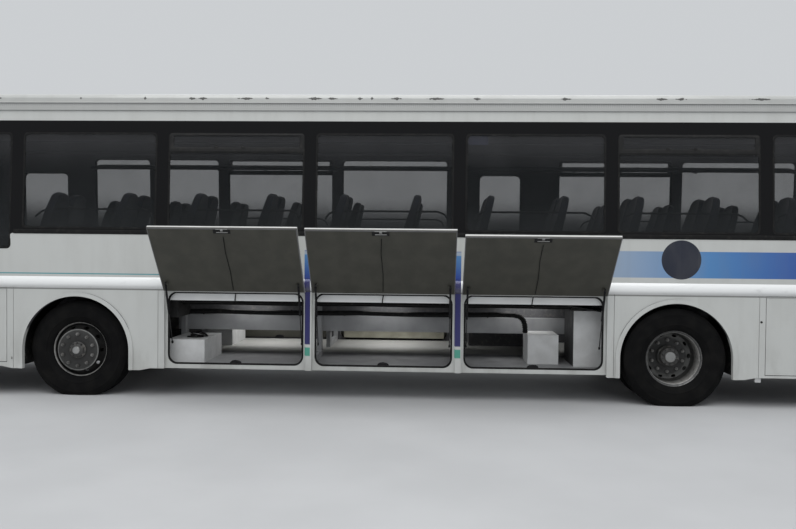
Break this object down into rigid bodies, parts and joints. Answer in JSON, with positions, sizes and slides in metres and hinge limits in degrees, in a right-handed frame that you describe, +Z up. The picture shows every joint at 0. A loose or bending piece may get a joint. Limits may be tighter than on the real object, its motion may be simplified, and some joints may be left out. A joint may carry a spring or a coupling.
{
  "type": "coach bus",
  "caption": "Intercity coach with rear engine, raised saloon, through underfloor lockers with top-hinged doors on gas struts, steered front wheels and twin rear wheels.",
  "frame": {"origin": "on the ground, on the coach's centre line, midway between the two axles", "axes": "+X rearwards along the coach, +Y to its right side, +Z up"},
  "size_m": [12.065, 3.3016, 3.381],
  "materials": {
    "body_paint": "gloss white paint",
    "door_panel": "white outside, dark olive grey inside",
    "bright_trim": "white plastic coated aluminium",
    "glass": "tinted",
    "lamp_lens": "clear moulded lens",
    "lamp_lens_red": "red moulded lens",
    "black_plastic": "grained black",
    "frame_paint": "satin chassis black",
    "floor_sheet": "flecked sheet",
    "locker_lining": "light grey",
    "cast_parts": "painted dark grey",
    "rubber": "matt",
    "black_metal": "gloss black",
    "seat_fabric": "dark woven pile",
    "rim_paint": "worn grey paint",
    "tyre": "black rubber"
  },
  "bodies": {
    "root": {"left_side": "body_paint", "right_side": "body_paint", "left_skirt": "body_paint", "right_skirt": "body_paint", "front_end": "body_paint", "rear_end": "body_paint", "roof": "body_paint", "rub_rails": "bright_trim", "windscreen": "glass", "window_glass": "glass", "front_door": "body_paint", "middle_door": "body_paint", "head_lamps": "lamp_lens", "tail_lamps": "lamp_lens_red", "mirrors": "black_plastic", "underframe": "frame_paint", "saloon_floor": "floor_sheet", "stairs": "floor_sheet", "luggage_bay": "locker_lining", "wheel_housings": "black_plastic", "axles": "cast_parts", "air_springs": "rubber", "tanks": "black_metal", "engine": "cast_parts", "seats": "seat_fabric", "parcel_racks": "locker_lining", "dashboard": "black_plastic"},
    "steering_wheel": {"steering_wheel": "black_plastic"},
    "knuckle_left": {"knuckle_left": "cast_parts"},
    "wheel_front_left": {"rim_front_left": "rim_paint", "tyre_front_left": "tyre"},
    "wheel_rear_left": {"rim_rear_left": "rim_paint", "tyre_rear_left": "tyre"},
    "knuckle_right": {"knuckle_right": "cast_parts"},
    "wheel_front_right": {"rim_front_right": "rim_paint", "tyre_front_right": "tyre"},
    "wheel_rear_right": {"rim_rear_right": "rim_paint", "tyre_rear_right": "tyre"},
    "locker_door_left_1": {"locker_door_left_1": "door_panel"},
    "strut_barrels_left_1": {"strut_barrels_left_1": "black_metal"},
    "strut_rods_left_1": {"strut_rods_left_1": "bright_trim"},
    "locker_door_left_2": {"locker_door_left_2": "door_panel"},
    "strut_barrels_left_2": {"strut_barrels_left_2": "black_metal"},
    "strut_rods_left_2": {"strut_rods_left_2": "bright_trim"},
    "locker_door_left_3": {"locker_door_left_3": "door_panel"},
    "strut_barrels_left_3": {"strut_barrels_left_3": "black_metal"},
    "strut_rods_left_3": {"strut_rods_left_3": "bright_trim"},
    "locker_door_right_1": {"locker_door_right_1": "door_panel"},
    "locker_door_right_2": {"locker_door_right_2": "door_panel"},
    "front_flap_left": {"front_flap_left": "body_paint"},
    "rear_flap_left": {"rear_flap_left": "body_paint"},
    "rear_flap_right": {"rear_flap_right": "body_paint"},
    "engine_door": {"engine_door": "body_paint"}
  },
  "joints": [
    {"name": "knuckle_left_steer", "type": "hinge", "parent": "root", "child": "knuckle_left", "pos_m": [-3.125, -0.9, 0.487], "axis": [0, 0, 1], "range_deg": [-38, 38]},
    {"name": "knuckle_right_steer", "type": "hinge", "parent": "root", "child": "knuckle_right", "pos_m": [-3.125, 0.9, 0.487], "axis": [0, 0, 1], "range_deg": [-38, 38]},
    {"name": "steering_wheel_turn", "type": "hinge", "parent": "root", "child": "steering_wheel", "pos_m": [-5.02, -0.62, 1.44], "axis": [0.4695, 0, 0.8829], "range_deg": [-760, 760]},
    {"name": "wheel_front_left_roll", "type": "hinge", "parent": "knuckle_left", "child": "wheel_front_left", "pos_m": [-3.125, -1.04, 0.487], "axis": [0, 1, 0], "continuous": true},
    {"name": "wheel_rear_left_roll", "type": "hinge", "parent": "root", "child": "wheel_rear_left", "pos_m": [3.125, -1.078, 0.487], "axis": [0, 1, 0], "continuous": true},
    {"name": "wheel_front_right_roll", "type": "hinge", "parent": "knuckle_right", "child": "wheel_front_right", "pos_m": [-3.125, 1.04, 0.487], "axis": [0, 1, 0], "continuous": true},
    {"name": "wheel_rear_right_roll", "type": "hinge", "parent": "root", "child": "wheel_rear_right", "pos_m": [3.125, 1.078, 0.487], "axis": [0, 1, 0], "continuous": true},
    {"name": "locker_door_left_1_hinge", "type": "hinge", "parent": "root", "child": "locker_door_left_1", "pos_m": [-1.4335, -1.247, 1.133], "axis": [1, 0, 0], "range_deg": [0, 141.8]},
    {"name": "strut_barrels_left_1_pivot", "type": "hinge", "parent": "locker_door_left_1", "child": "strut_barrels_left_1", "pos_m": [-1.4335, -1.37601, 1.20963], "axis": [1, 0, 0], "range_deg": [-156.1, 0]},
    {"name": "strut_rods_left_1_slide", "type": "slide", "parent": "strut_barrels_left_1", "child": "strut_rods_left_1", "axis": [0, 0.3379, -0.9412], "range_m": [-0.2542, 0]},
    {"name": "locker_door_left_2_hinge", "type": "hinge", "parent": "root", "child": "locker_door_left_2", "pos_m": [0.1215, -1.247, 1.133], "axis": [1, 0, 0], "range_deg": [0, 140.9]},
    {"name": "strut_barrels_left_2_pivot", "type": "hinge", "parent": "locker_door_left_2", "child": "strut_barrels_left_2", "pos_m": [0.1215, -1.3772, 1.20759], "axis": [1, 0, 0], "range_deg": [-155.36, 0]},
    {"name": "strut_rods_left_2_slide", "type": "slide", "parent": "strut_barrels_left_2", "child": "strut_rods_left_2", "axis": [0, 0.3404, -0.9403], "range_m": [-0.2527, 0]},
    {"name": "locker_door_left_3_hinge", "type": "hinge", "parent": "root", "child": "locker_door_left_3", "pos_m": [1.6765, -1.247, 1.133], "axis": [1, 0, 0], "range_deg": [0, 135.7]},
    {"name": "strut_barrels_left_3_pivot", "type": "hinge", "parent": "locker_door_left_3", "child": "strut_barrels_left_3", "pos_m": [1.6765, -1.38343, 1.19548], "axis": [1, 0, 0], "range_deg": [-151.03, 0]},
    {"name": "strut_rods_left_3_slide", "type": "slide", "parent": "strut_barrels_left_3", "child": "strut_rods_left_3", "axis": [0, 0.3546, -0.935], "range_m": [-0.2435, 0]},
    {"name": "locker_door_right_1_hinge", "type": "hinge", "parent": "root", "child": "locker_door_right_1", "pos_m": [-1.4335, 1.247, 1.133], "axis": [1, 0, 0], "range_deg": [0, 141.8]},
    {"name": "locker_door_right_2_hinge", "type": "hinge", "parent": "root", "child": "locker_door_right_2", "pos_m": [0.1215, 1.247, 1.133], "axis": [1, 0, 0], "range_deg": [0, 140.9]},
    {"name": "front_flap_left_hinge", "type": "hinge", "parent": "root", "child": "front_flap_left", "pos_m": [-4.525, -1.247, 1.133], "axis": [-1, 0, 0], "range_deg": [0, 120]},
    {"name": "rear_flap_left_hinge", "type": "hinge", "parent": "root", "child": "rear_flap_left", "pos_m": [4.676, -1.247, 1.133], "axis": [-1, 0, 0], "range_deg": [0, 120]},
    {"name": "rear_flap_right_hinge", "type": "hinge", "parent": "root", "child": "rear_flap_right", "pos_m": [4.676, 1.247, 1.133], "axis": [1, 0, 0], "range_deg": [0, 120]},
    {"name": "engine_door_hinge", "type": "hinge", "parent": "root", "child": "engine_door", "pos_m": [6.202, 0, 1.255], "axis": [0, -1, 0], "range_deg": [0, 80]}
  ],
  "couplings": [
    {"joint": "knuckle_right_steer", "follows": "knuckle_left_steer", "ratio": 1},
    {"joint": "steering_wheel_turn", "follows": "knuckle_left_steer", "ratio": 20},
    {"joint": "strut_barrels_left_1_pivot", "follows": "locker_door_left_1_hinge", "ratio": -1.0973},
    {"joint": "strut_rods_left_1_slide", "follows": "locker_door_left_1_hinge", "m_per_rad": -0.10252},
    {"joint": "strut_barrels_left_2_pivot", "follows": "locker_door_left_2_hinge", "ratio": -1.0991},
    {"joint": "strut_rods_left_2_slide", "follows": "locker_door_left_2_hinge", "m_per_rad": -0.10256},
    {"joint": "strut_barrels_left_3_pivot", "follows": "locker_door_left_3_hinge", "ratio": -1.1093},
    {"joint": "strut_rods_left_3_slide", "follows": "locker_door_left_3_hinge", "m_per_rad": -0.10261}
  ]
}
